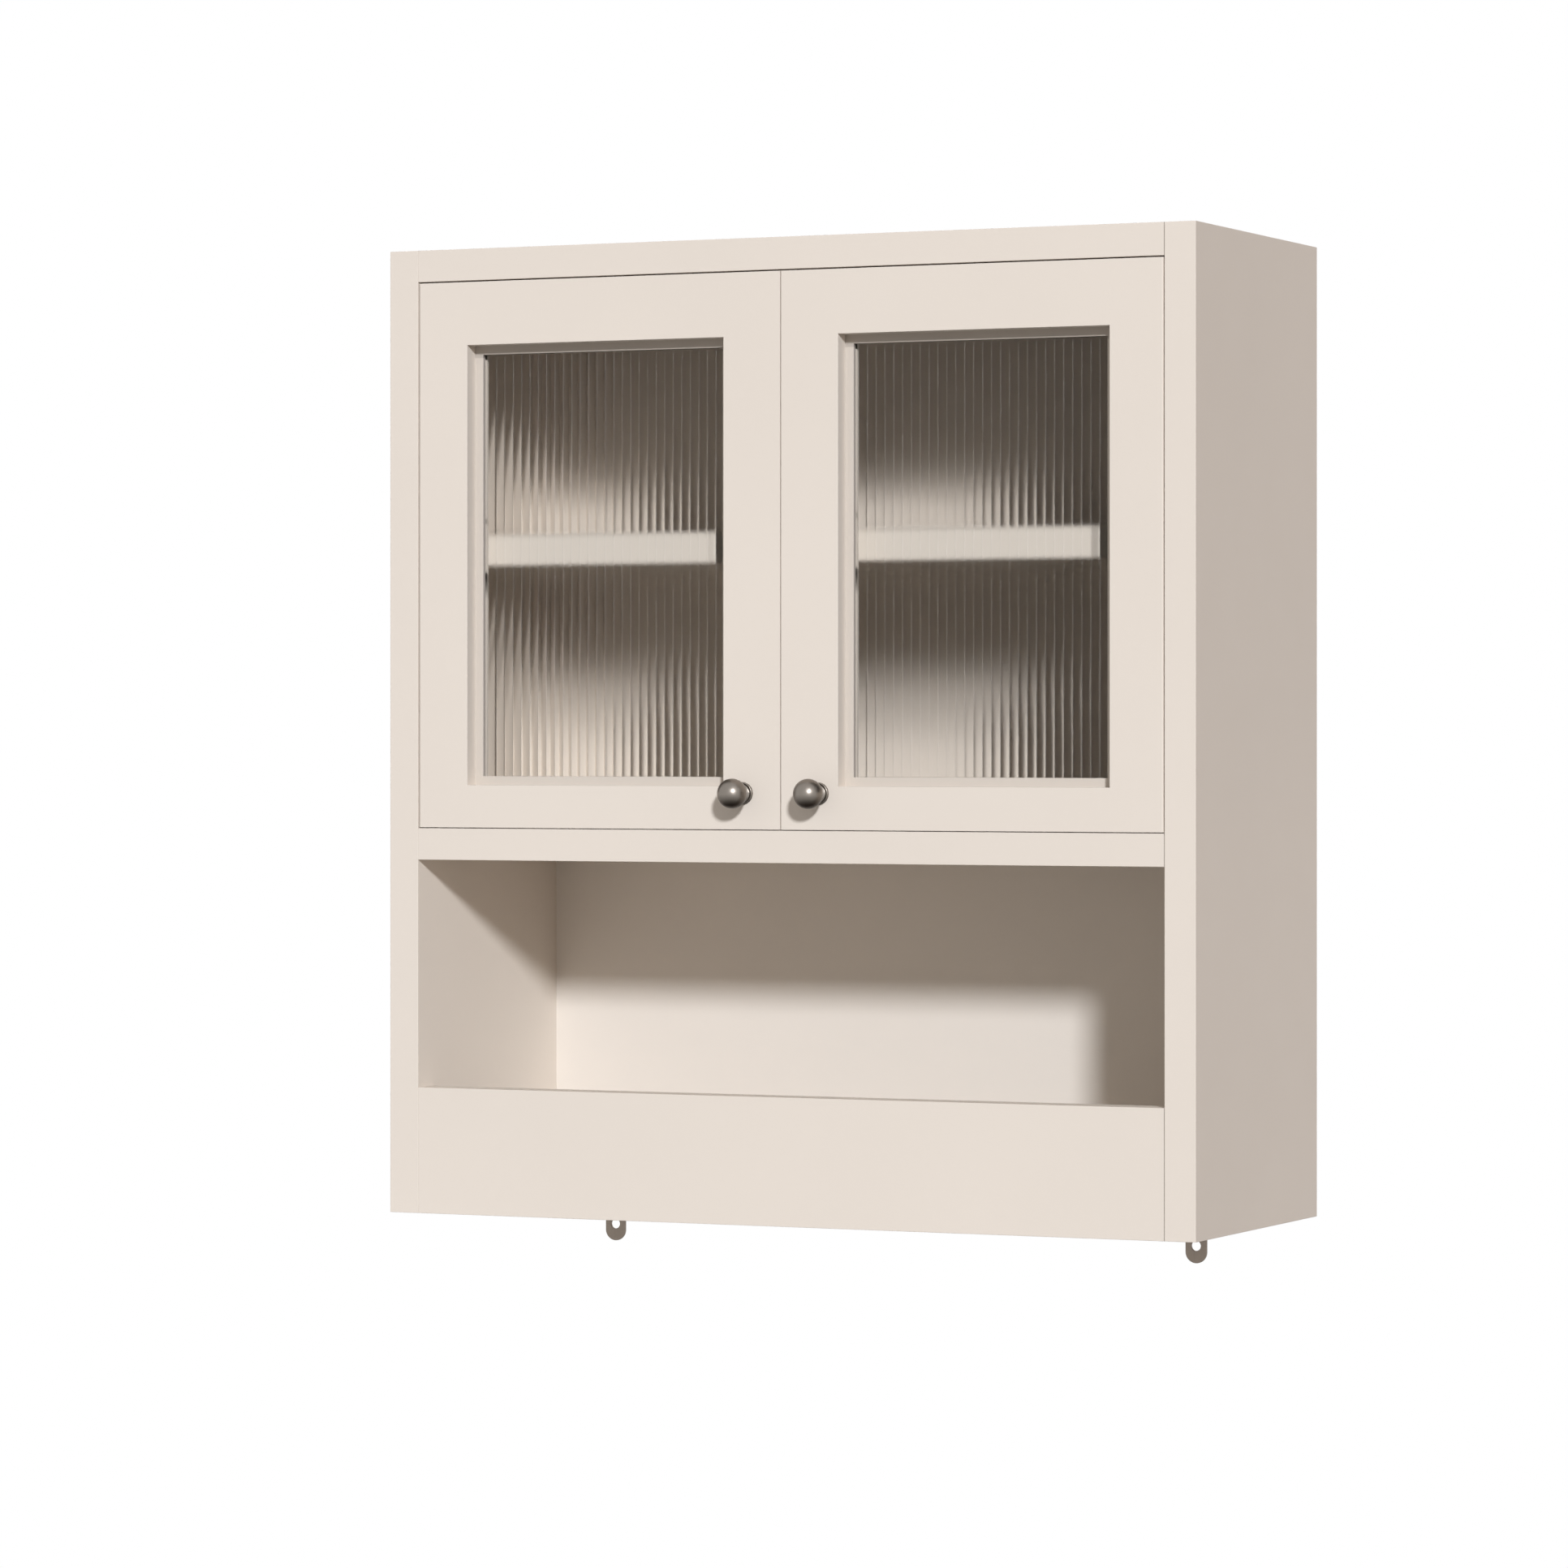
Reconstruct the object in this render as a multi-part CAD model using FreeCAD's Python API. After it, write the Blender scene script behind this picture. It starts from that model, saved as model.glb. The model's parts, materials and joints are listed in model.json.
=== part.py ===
# Wall-hung bathroom cabinet: a board carcass with two glazed inset doors above an open tray.
# Widths run across from the middle, depths run back from the front plane, heights up from the lower edge.

import FreeCAD, Part
import math
import os

from FreeCAD import Vector

# Carcass boards
cabinet_width = 600.0
cabinet_height = 670.0
cabinet_depth = 235.0
board = 22.0
arris = 0.3
apron_height = 87.5
tray_ceiling = 246.0

# Back panel and the wall rails behind it
back_thickness = 5.0
wall_recess = 18.0
groove_depth = 6.0
groove_end_play = 0.5
groove_play = 0.3
rail_height = 60.0
wall_hole_radius = 3.0
wall_hole_spacing = 400.0

# Shelf and its pins
shelf_rise = 183.0
shelf_setback = 36.0
shelf_side_play = 1.0
shelf_back_play = 2.0
shelf_pin_radius = 2.5
shelf_pin_bite = 10.0
shelf_pin_reach = 9.0
shelf_pin_flange = 10.0
shelf_pin_flange_thickness = 1.5
shelf_pin_inset = 28.0
shelf_hole_pitch = 32.0
shelf_hole_steps = 1
shelf_pin_fit = 0.1

# Dowels and cam fittings
dowel_radius = 4.0
dowel_length = 30.0
dowel_bite = 11.0
dowel_margin = 15.0
dowel_fit = 0.1
dowel_end_play = 0.5
apron_dowel_inset = 70.0
cam_radius = 7.5
cam_height = 12.8
cam_cap_thickness = 0.9
cam_reach = 34.0
cam_fit = 0.15
cam_front_inset = 50.0
cam_rear_inset = 60.0
cam_bolt_radius = 3.0
cam_bolt_bite = 11.0
cam_bolt_fit = 0.15

# Doors
side_gap = 0.9
meeting_gap = 0.8
top_gap = 1.0
bottom_gap = 0.6
hinge_corner_radius = 1.0
hinge_stile = 37.8
meeting_stile = 42.35
top_rail = 43.8
bottom_rail = 29.4
step_depth = 12.0
lip_width = 6.2
lip_thickness = 3.0

# Fluted glass and its beads
glass_thickness = 4.0
glass_play = 0.8
flute_pitch = 6.5
flute_rise = 0.7
bead_thickness = 3.0
bead_play = 0.2

# Concealed hinges
hinge_inset = 73.0
pin_setback = 22.0
pin_depth = 6.5
pin_radius = 2.0
pin_clearance = 0.05
eye_wall = 1.5
arm_thickness = 3.0
arm_height = 14.0
foot_length = 42.0
swing_clearance = 1.0
ear_thickness = 2.0
ear_play = 0.5
eye_play = 0.45
notch_play = 0.3
web_clearance = 2.5
tab_thickness = 1.5
tab_width = 20.0
tab_length = 16.5
plate_thickness = 2.0
plate_length = 42.0
plate_height = 40.0
plate_screw_rise = 14.0

# Wood screws
screw_radius = 1.75
screw_length = 12.0
screw_head_radius = 3.2
screw_head_height = 1.5
screw_fit = 0.1
screw_inset = 7.0

# Knobs
knob_edge_inset = 27.85
knob_rise = 24.6
ball_radius = 10.15
ball_standoff = 17.0
neck_radius = 3.8
neck_foot_radius = 5.2
neck_foot_height = 3.5
rose_radius = 7.65
rose_thickness = 2.0
rose_edge = 0.8
knob_bolt_radius = 2.0
knob_bolt_bite = 9.0
knob_bolt_head_radius = 4.2
knob_bolt_head_height = 2.4
knob_bolt_fit = 0.1

# Magnetic catch
catch_depth = 22.0
catch_wall = 3.0
catch_clearance = 0.3
magnet_width = 15.0
magnet_height = 7.0
magnet_depth = 5.0
magnet_inset = 3.0
magnet_fit = 0.1
strike_width = 18.0
strike_height = 8.0
strike_thickness = 1.0
strike_peg_radius = 1.5
strike_peg_length = 8.0
catch_screw_pitch = 8.0

# Lower brackets
bracket_inset = 54.0
bracket_setback = 200.0
bracket_width = 15.6
bracket_thickness = 2.0
bracket_drop = 32.5
bracket_foot = 40.0
bracket_hole_radius = 3.5
bracket_hole_rise = 12.1

# Levels and faces that follow from the sizes above
inner_half = cabinet_width / 2 - board
top_low = cabinet_height - board
middle_top = tray_ceiling + board
back_face = cabinet_depth - wall_recess - back_thickness
back_rear = cabinet_depth - wall_recess
groove_rear = back_rear + groove_play
hanger_height = top_low - rail_height / 2
shelf_low = middle_top + shelf_rise
shelf_rear = back_face - shelf_back_play
cam_depths = (cam_front_inset, cabinet_depth - cam_rear_inset)
dowel_depth = sum(cam_depths) / 2

# Door edges of the left door
door_low = middle_top + bottom_gap
door_high = top_low - top_gap
hinge_edge = -(inner_half - side_gap)
meeting_edge = -meeting_gap / 2
opening_x = (hinge_edge + hinge_stile, meeting_edge - meeting_stile)
opening_z = (door_low + bottom_rail, door_high - top_rail)
lip_x = (opening_x[0] + lip_width, opening_x[1] - lip_width)
lip_z = (opening_z[0] + lip_width, opening_z[1] - lip_width)
glass_front = step_depth + lip_thickness
glass_rear = glass_front + glass_thickness
door_thickness = glass_rear + bead_thickness

# Hinge of the left door
hinge_heights = (door_low + hinge_inset, door_high - hinge_inset)
pin_x = hinge_edge + pin_setback
eye_radius = pin_radius + pin_clearance + eye_wall
ear_face = arm_height / 2 + ear_play
ear_back = ear_face + ear_thickness
notch_front = pin_depth - eye_radius - eye_play
notch_half = ear_back + notch_play
notch_end = pin_x + eye_radius + web_clearance + ear_thickness
skin_sweep = math.hypot(pin_setback, pin_depth)
edge_sweep = math.hypot(pin_setback, door_thickness - pin_depth)
crank_front = pin_depth + skin_sweep + swing_clearance
plate_front = pin_depth + edge_sweep + swing_clearance
plate_x = (-inner_half, -inner_half + plate_thickness)
foot_x = (plate_x[1], plate_x[1] + arm_thickness)
foot_end = plate_front + foot_length - arm_thickness
foot_screw_depth = foot_end - screw_inset
plate_screw_depth = plate_front + plate_length / 2
tab_screw_x = notch_end - tab_width / 2 + ear_thickness
tab_screw_rise = ear_face + tab_length - screw_inset

# Knob and catch of the left door
knob_x = meeting_edge - knob_edge_inset
knob_z = door_low + knob_rise
strike_x = meeting_edge - magnet_inset - strike_width / 2
strike_rear = door_thickness + strike_thickness
catch_front = strike_rear + catch_clearance
magnet_z = top_low - catch_wall - magnet_height / 2
catch_low = magnet_z - magnet_height / 2 - catch_wall
catch_half = magnet_width / 2 + catch_wall - strike_x
catch_screw_depths = (
    catch_front + catch_depth / 2 - catch_screw_pitch / 2,
    catch_front + catch_depth / 2 + catch_screw_pitch / 2,
)

# Lower bracket on the left
bracket_x = bracket_inset - inner_half
bracket_rear = bracket_setback + bracket_thickness
bracket_foot_front = bracket_rear - bracket_foot
bracket_screw_depths = (bracket_foot_front + screw_inset, bracket_setback - screw_inset)

RIGHT = Vector(1, 0, 0)
BACK = Vector(0, 1, 0)
UP = Vector(0, 0, 1)


def block(across, back, up):
    """Block between two limits across, back and up."""
    corner = Vector(across[0], back[0], up[0])
    return Part.makeBox(across[1] - across[0], back[1] - back[0], up[1] - up[0], corner)


def eased_board(across, back, up):
    """Board with its arrises taken off."""
    plain = block(across, back, up)
    return plain.makeFillet(arris, plain.Edges)


def rod(radius, start, direction, length):
    """Round bar from a start point."""
    return Part.makeCylinder(radius, length, start, direction)


def band(middle, size):
    """Limits of a size about its middle."""
    return (middle - size / 2, middle + size / 2)


def mirrored(shape):
    """The same piece on the other half of the cabinet."""
    return shape.mirror(Vector(0, 0, 0), RIGHT)


def both_halves(shapes):
    """Pieces of the left half and their mirror images."""
    return shapes + [mirrored(shape) for shape in shapes]


def save(name, shapes):
    """Move a piece to the wall datum between the wall-screw holes and write it."""
    piece = Part.makeCompound(shapes) if len(shapes) > 1 else shapes[0].copy()
    piece.translate(Vector(0, -cabinet_depth, -hanger_height))
    piece.exportStep("parts/" + name + ".step")


def wood_screw(head_seat, direction):
    """Pan-head screw whose head sits on a face and whose shank runs along a direction."""
    shank = rod(screw_radius, head_seat, direction, screw_length)
    head = rod(screw_head_radius, head_seat, direction * -1, screw_head_height)
    return shank.fuse(head).removeSplitter()


def screw_hole(head_seat, direction):
    """Pilot hole for a wood screw."""
    return rod(screw_radius + screw_fit, head_seat, direction, screw_length + screw_fit)


def flat_panels():
    """Lower face of each flat panel, and whether its cams are let in from above."""
    return ((top_low, True), (tray_ceiling, True), (0.0, False))


def cam_places():
    """Level, depth and let-in side of each cam fitting at the left end of the flat panels."""
    return [(low, depth, above) for low, above in flat_panels() for depth in cam_depths]


def cam_seat(low, depth, above):
    """Centre of the cam's outer face, and the way that the cam is let in."""
    face = low + board if above else low
    inward = UP * -1 if above else UP
    return Vector(-inner_half + cam_reach, depth, face), inward


def cam_bolt(low, depth, fit):
    """Bolt in the side panel that the cam pulls on, grown by a fit for its hole."""
    start = Vector(-inner_half - cam_bolt_bite - fit, depth, low + board / 2)
    return rod(cam_bolt_radius + fit, start, RIGHT, cam_bolt_bite + cam_reach + 2 * fit)


def cam(low, depth, above):
    """Cam that locks the bolt, under its cap."""
    face, inward = cam_seat(low, depth, above)
    body = rod(cam_radius, face + inward * cam_cap_thickness, inward, cam_height)
    return body.cut(cam_bolt(low, depth, cam_bolt_fit))


def cam_cap(low, depth, above):
    """Cap flush with the panel over a cam."""
    face, inward = cam_seat(low, depth, above)
    return rod(cam_radius, face, inward, cam_cap_thickness)


def cam_pocket(low, depth, above):
    """Pocket for a cam and its cap."""
    face, inward = cam_seat(low, depth, above)
    return rod(cam_radius + cam_fit, face, inward, cam_cap_thickness + cam_height)


def end_dowels():
    """Joint points of the dowels between the left side panel and the boards that meet it."""
    rail_depth = (back_rear + cabinet_depth) / 2
    points = [(dowel_depth, low + board / 2) for low, above in flat_panels()]
    points += [(board / 2, dowel_margin), (board / 2, apron_height - dowel_margin)]
    for low in (board, top_low - rail_height):
        points += [(rail_depth, low + dowel_margin), (rail_depth, low + rail_height - dowel_margin)]
    return [Vector(-inner_half, depth, height) for depth, height in points]


def apron_dowels():
    """Joint points of the dowels between the apron and the bottom panel."""
    reach = inner_half - apron_dowel_inset
    return [Vector(across, board, board / 2) for across in (-reach, 0.0, reach)]


def dowel(joint, direction, fit, end_play):
    """Dowel through a joint, grown by its plays for its hole."""
    start = joint - direction * (dowel_bite + end_play)
    return rod(dowel_radius + fit, start, direction, dowel_length + 2 * end_play)


def left_end_holes():
    """Holes for every dowel and cam bolt at the left side panel."""
    holes = [dowel(joint, RIGHT, dowel_fit, dowel_end_play) for joint in end_dowels()]
    holes += [cam_bolt(low, depth, cam_bolt_fit) for low, depth, above in cam_places()]
    return holes


def end_holes():
    """Holes for the dowels and cam bolts at both side panels."""
    return both_halves(left_end_holes())


def back_groove():
    """Groove that the back panel slides into, in the sides, top and bottom."""
    reach = inner_half + groove_depth
    return block((-reach, reach), (back_face, groove_rear), (board - groove_depth, top_low + groove_depth))


def shelf_pin_depths():
    """Depths of the front and rear rows of shelf pins."""
    return (shelf_setback + shelf_pin_inset, shelf_rear - shelf_pin_inset)


def shelf_pin(depth):
    """Pin in the left side panel with a flange against it, under the shelf."""
    start = Vector(-inner_half - shelf_pin_bite, depth, shelf_low - shelf_pin_radius)
    stem = rod(shelf_pin_radius, start, RIGHT, shelf_pin_bite + shelf_pin_reach)
    across = (-inner_half, -inner_half + shelf_pin_flange_thickness)
    flange = block(across, band(depth, shelf_pin_flange), (shelf_low - shelf_pin_flange, shelf_low))
    return stem.fuse(flange).removeSplitter()


def shelf_holes():
    """Rows of pin holes in the left side panel, with spare places above and below."""
    holes = []
    for depth in shelf_pin_depths():
        for step in range(-shelf_hole_steps, shelf_hole_steps + 1):
            height = shelf_low - shelf_pin_radius + step * shelf_hole_pitch
            start = Vector(-inner_half - shelf_pin_bite - shelf_pin_fit, depth, height)
            bite = shelf_pin_bite + shelf_pin_fit
            holes.append(rod(shelf_pin_radius + shelf_pin_fit, start, RIGHT, bite))
    return holes


def left_side_panel():
    """Full-height side, grooved for the back and bored for its fittings."""
    side = eased_board((-cabinet_width / 2, -inner_half), (0, cabinet_depth), (0, cabinet_height))
    cuts = [back_groove()] + left_end_holes() + shelf_holes()
    for height in hinge_heights:
        cuts += [screw_hole(seat, RIGHT * -1) for seat in hinge_plate_screw_seats(height)]
    return side.cut(cuts)


def top_panel():
    """Top board between the sides."""
    panel = eased_board((-inner_half, inner_half), (0, cabinet_depth), (top_low, cabinet_height))
    pockets = [cam_pocket(top_low, depth, True) for depth in cam_depths]
    cuts = [back_groove()] + end_holes() + both_halves(pockets)
    cuts += [screw_hole(seat, UP) for seat in catch_screw_seats()]
    return panel.cut(cuts)


def middle_panel():
    """Floor of the doors' compartment and ceiling of the tray."""
    panel = eased_board((-inner_half, inner_half), (0, back_face), (tray_ceiling, middle_top))
    pockets = [cam_pocket(tray_ceiling, depth, True) for depth in cam_depths]
    return panel.cut(end_holes() + both_halves(pockets))


def bottom_panel():
    """Floor of the tray, behind the apron."""
    panel = eased_board((-inner_half, inner_half), (board, cabinet_depth), (0, board))
    pockets = [cam_pocket(0.0, depth, False) for depth in cam_depths]
    cuts = [back_groove()] + end_holes() + both_halves(pockets)
    cuts += [dowel(joint, BACK, dowel_fit, dowel_end_play) for joint in apron_dowels()]
    cuts += both_halves([screw_hole(seat, UP) for seat in bracket_screw_seats()])
    return panel.cut(cuts)


def front_apron():
    """Front board of the tray, which stands above its floor as a rail."""
    apron = eased_board((-inner_half, inner_half), (0, board), (0, apron_height))
    holes = [dowel(joint, BACK, dowel_fit, dowel_end_play) for joint in apron_dowels()]
    return apron.cut(end_holes() + holes)


def wall_holes():
    """Holes for the wall screws through the back panel and the hanging rail."""
    centres = [Vector(across, back_face, hanger_height) for across in band(0.0, wall_hole_spacing)]
    return [rod(wall_hole_radius, centre, BACK, cabinet_depth - back_face) for centre in centres]


def back_panel():
    """Thin panel in the groove."""
    reach = inner_half + groove_depth - groove_end_play
    low = board - groove_depth + groove_end_play
    high = top_low + groove_depth - groove_end_play
    return block((-reach, reach), (back_face, back_rear), (low, high)).cut(wall_holes())


def upper_hanging_rail():
    """Rail under the top panel that takes the wall screws."""
    rail = block((-inner_half, inner_half), (back_rear, cabinet_depth), (top_low - rail_height, top_low))
    return rail.cut(end_holes() + wall_holes())


def lower_spacer_rail():
    """Rail that keeps the lower end off the wall."""
    rail = block((-inner_half, inner_half), (back_rear, cabinet_depth), (board, board + rail_height))
    return rail.cut(end_holes())


def adjustable_shelf():
    """Loose shelf on its pins."""
    reach = inner_half - shelf_side_play
    return eased_board((-reach, reach), (shelf_setback, shelf_rear), (shelf_low, shelf_low + board))


def lower_bracket():
    """Bent steel strip under the left of the bottom panel, with a round-ended tab that hangs down."""
    across = band(bracket_x, bracket_width)
    end_radius = bracket_width / 2
    end_height = end_radius - bracket_drop
    foot = block(across, (bracket_foot_front, bracket_rear), (-bracket_thickness, 0))
    leg = block(across, (bracket_setback, bracket_rear), (end_height, 0))
    end = rod(end_radius, Vector(bracket_x, bracket_setback, end_height), BACK, bracket_thickness)
    hole_centre = Vector(bracket_x, bracket_setback, bracket_hole_rise - bracket_drop)
    holes = [rod(bracket_hole_radius, hole_centre, BACK, bracket_thickness)]
    holes += [screw_hole(seat, UP) for seat in bracket_screw_seats()]
    return foot.fuse([leg, end]).removeSplitter().cut(holes)


def bracket_screw_seats():
    """Head seats of the left bracket's screws."""
    return [Vector(bracket_x, depth, -bracket_thickness) for depth in bracket_screw_depths]


def catch_screw_seats():
    """Head seats of the catch's screws, under its housing."""
    return [Vector(0.0, depth, catch_low) for depth in catch_screw_depths]


def magnet(fit):
    """Left magnet of the catch, grown by a fit for its pocket."""
    across = band(strike_x, magnet_width + 2 * fit)
    depths = (catch_front, catch_front + magnet_depth + fit)
    return block(across, depths, band(magnet_z, magnet_height + 2 * fit))


def magnetic_catch():
    """Plastic housing of the double catch under the top panel."""
    depths = (catch_front, catch_front + catch_depth)
    housing = block((-catch_half, catch_half), depths, (catch_low, top_low))
    cuts = both_halves([magnet(magnet_fit)])
    cuts += [screw_hole(seat, UP) for seat in catch_screw_seats()]
    return housing.cut(cuts)


def strike_plate():
    """Steel plate on the back of the left door, with its peg."""
    depths = (door_thickness, strike_rear)
    plate = block(band(strike_x, strike_width), depths, band(magnet_z, strike_height))
    return plate.fuse(strike_peg(0.0)).removeSplitter()


def strike_peg(fit):
    """Peg of the strike plate, grown by a fit for its hole."""
    start = Vector(strike_x, door_thickness, magnet_z)
    return rod(strike_peg_radius + fit, start, BACK * -1, strike_peg_length + fit)


def door_slab():
    """Slab of the left door, with its hinge corner rounded to swing past the side."""
    slab = block((hinge_edge, meeting_edge), (0, door_thickness), (door_low, door_high))
    corner = Vector(hinge_edge, 0, (door_low + door_high) / 2)
    hinge_corner = [edge for edge in slab.Edges if edge.CenterOfMass.isEqual(corner, arris)]
    return slab.makeFillet(hinge_corner_radius, hinge_corner)


def hinge_notch(height):
    """Notch in the left door's back and hinge edge that clears the arm."""
    return block((hinge_edge, notch_end), (notch_front, door_thickness), band(height, 2 * notch_half))


def left_door_frame():
    """One-piece frame with a stepped opening, a lip for the glass and a notch for each hinge."""
    cuts = [
        block(opening_x, (0, step_depth), opening_z),
        block(lip_x, (step_depth, glass_front), lip_z),
        block(opening_x, (glass_front, door_thickness), opening_z),
        knob_bolt_hole(),
        strike_peg(screw_fit),
    ]
    for height in hinge_heights:
        cuts.append(hinge_notch(height))
        cuts += [screw_hole(seat, BACK * -1) for seat in cup_screw_seats(height)]
    return door_slab().cut(cuts)


def left_glass():
    """Pane with flutes on its inner face, seated behind the lip."""
    left = opening_x[0] + glass_play
    right = opening_x[1] - glass_play
    low = opening_z[0] + glass_play
    high = opening_z[1] - glass_play
    valley = glass_rear - flute_rise
    count = int((right - left) / flute_pitch)
    first = (left + right - count * flute_pitch) / 2
    last = first + count * flute_pitch
    outline = [(first, valley), (left, valley), (left, glass_front)]
    outline += [(right, glass_front), (right, valley), (last, valley)]
    corners = [Vector(across, depth, low) for across, depth in outline]
    edges = [Part.LineSegment(here, there).toShape() for here, there in zip(corners, corners[1:])]
    for flute in reversed(range(count)):
        near = Vector(first + (flute + 1) * flute_pitch, valley, low)
        ridge = Vector(first + (flute + 0.5) * flute_pitch, glass_rear, low)
        far = Vector(first + flute * flute_pitch, valley, low)
        edges.append(Part.Arc(near, ridge, far).toShape())
    return Part.Face(Part.Wire(edges)).extrude(UP * (high - low))


def left_glazing_beads():
    """Two uprights and two crossbars that hold the pane from behind."""
    left = opening_x[0] + bead_play
    right = opening_x[1] - bead_play
    low = opening_z[0] + bead_play
    high = opening_z[1] - bead_play
    behind = (glass_rear, door_thickness)
    uprights = [block(across, behind, (low, high)) for across in ((left, lip_x[0]), (lip_x[1], right))]
    crossbars = [block(lip_x, behind, up) for up in ((low, lip_z[0]), (lip_z[1], high))]
    return uprights + crossbars


def cup_screw_seats(height):
    """Head seats of the screws through a cup's tabs."""
    rear = door_thickness + tab_thickness
    return [Vector(tab_screw_x, rear, level) for level in band(height, 2 * tab_screw_rise)]


def hinge_pin(height):
    """Pin through the ears of a cup."""
    return rod(pin_radius, Vector(pin_x, pin_depth, height - ear_back), UP, 2 * ear_back)


def hinge_cup(height):
    """Steel bracket let into the left door: a web, two ears for the pin, and two screw tabs."""
    inside = (notch_front, door_thickness)
    ear_front = pin_x - eye_radius
    pieces = []
    for side in (-1, 1):
        ear = band(height + side * (ear_face + ear_back) / 2, ear_thickness)
        tab = band(height + side * (ear_face + tab_length / 2), tab_length)
        tab_x = (notch_end + ear_thickness - tab_width, notch_end + ear_thickness)
        pieces.append(block((ear_front, notch_end), inside, ear))
        pieces.append(block(tab_x, (door_thickness, door_thickness + tab_thickness), tab))
    web = block((notch_end - ear_thickness, notch_end), inside, band(height, 2 * ear_back))
    bore = rod(pin_radius + pin_clearance, Vector(pin_x, pin_depth, height - ear_back), UP, 2 * ear_back)
    holes = [bore] + [screw_hole(seat, BACK * -1) for seat in cup_screw_seats(height)]
    return web.fuse(pieces).removeSplitter().cut(holes)


def hinge_arm(height):
    """Cranked steel arm from the eye on the pin to the plate on the left side panel."""
    up = band(height, arm_height)
    leg_x = band(pin_x, arm_thickness)
    eye_low = Vector(pin_x, pin_depth, up[0])
    eye = rod(eye_radius, eye_low, UP, arm_height)
    leg = block(leg_x, (pin_depth, crank_front + arm_thickness), up)
    crank = block((foot_x[0], leg_x[1]), (crank_front, crank_front + arm_thickness), up)
    foot = block(foot_x, (crank_front, foot_end), up)
    bore = rod(pin_radius + pin_clearance, eye_low, UP, arm_height)
    screw = screw_hole(foot_screw_seat(height), RIGHT * -1)
    return eye.fuse([leg, crank, foot]).removeSplitter().cut([bore, screw])


def foot_screw_seat(height):
    """Head seat of the screw that clamps an arm to its plate."""
    return Vector(foot_x[1], foot_screw_depth, height)


def hinge_plate_screw_seats(height):
    """Head seats of the screws of one plate and its arm."""
    levels = band(height, 2 * plate_screw_rise)
    return [Vector(plate_x[1], plate_screw_depth, level) for level in levels] + [foot_screw_seat(height)]


def hinge_plate(height):
    """Mounting plate on the left side panel."""
    plate = block(plate_x, (plate_front, plate_front + plate_length), band(height, plate_height))
    return plate.cut([screw_hole(seat, RIGHT * -1) for seat in hinge_plate_screw_seats(height)])


def left_knob():
    """Ball on a short flared neck, bored for its bolt."""
    centre = Vector(knob_x, -ball_standoff, knob_z)
    base = Vector(knob_x, -rose_thickness, knob_z)
    ball = Part.makeSphere(ball_radius, centre)
    neck = rod(neck_radius, base, BACK * -1, ball_standoff - rose_thickness)
    foot = Part.makeCone(neck_foot_radius, neck_radius, neck_foot_height, base, BACK * -1)
    return ball.fuse([neck, foot]).removeSplitter().cut(knob_bolt_hole())


def left_knob_rose():
    """Round rose under the knob, with a softened rim."""
    face = Vector(knob_x, 0.0, knob_z)
    disc = rod(rose_radius, face, BACK * -1, rose_thickness)
    rim = [edge for edge in disc.Edges if abs(edge.CenterOfMass.y + rose_thickness) < rose_edge]
    return disc.makeFillet(rose_edge, rim).cut(knob_bolt_hole())


def knob_bolt_length():
    """From the head's seat behind the door to the end of the thread in the knob."""
    return door_thickness + rose_thickness + knob_bolt_bite


def knob_bolt_hole():
    """Hole for the knob's bolt through the door and rose into the knob."""
    seat = Vector(knob_x, door_thickness, knob_z)
    return rod(knob_bolt_radius + knob_bolt_fit, seat, BACK * -1, knob_bolt_length() + knob_bolt_fit)


def left_knob_bolt():
    """Bolt from behind the door into the knob."""
    seat = Vector(knob_x, door_thickness, knob_z)
    shank = rod(knob_bolt_radius, seat, BACK * -1, knob_bolt_length())
    head = rod(knob_bolt_head_radius, seat, BACK, knob_bolt_head_height)
    return shank.fuse(head).removeSplitter()


def save_pair(name, shapes):
    """Write a piece of the left half and its mirror image under both names."""
    save("left_" + name, shapes)
    save("right_" + name, [mirrored(shape) for shape in shapes])


def save_carcass():
    """Boards, shelf and the fittings that join them."""
    save_pair("side_panel", [left_side_panel()])
    save("top_panel", [top_panel()])
    save("middle_panel", [middle_panel()])
    save("bottom_panel", [bottom_panel()])
    save("front_apron", [front_apron()])
    save("back_panel", [back_panel()])
    save("upper_hanging_rail", [upper_hanging_rail()])
    save("lower_spacer_rail", [lower_spacer_rail()])
    save("adjustable_shelf", [adjustable_shelf()])
    save("shelf_pins", both_halves([shelf_pin(depth) for depth in shelf_pin_depths()]))
    ends = [dowel(joint, RIGHT, 0.0, 0.0) for joint in end_dowels()]
    fronts = [dowel(joint, BACK, 0.0, 0.0) for joint in apron_dowels()]
    save("carcass_dowels", both_halves(ends) + fronts)
    save("cam_bolts", both_halves([cam_bolt(low, depth, 0.0) for low, depth, above in cam_places()]))
    save("cams", both_halves([cam(low, depth, above) for low, depth, above in cam_places()]))
    save("cam_caps", both_halves([cam_cap(low, depth, above) for low, depth, above in cam_places()]))


def save_fittings():
    """Lower brackets, catch and the fixed halves of the hinges."""
    save_pair("lower_bracket", [lower_bracket()])
    save("bracket_screws", both_halves([wood_screw(seat, UP) for seat in bracket_screw_seats()]))
    save("magnetic_catch", [magnetic_catch()])
    save("catch_magnets", both_halves([magnet(0.0)]))
    save("catch_screws", [wood_screw(seat, UP) for seat in catch_screw_seats()])
    screws = []
    for level, height in zip(("lower", "upper"), hinge_heights):
        save_pair(level + "_hinge_arm", [hinge_arm(height)])
        save_pair(level + "_hinge_plate", [hinge_plate(height)])
        screws += [wood_screw(seat, RIGHT * -1) for seat in hinge_plate_screw_seats(height)]
    save("hinge_plate_screws", both_halves(screws))


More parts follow.
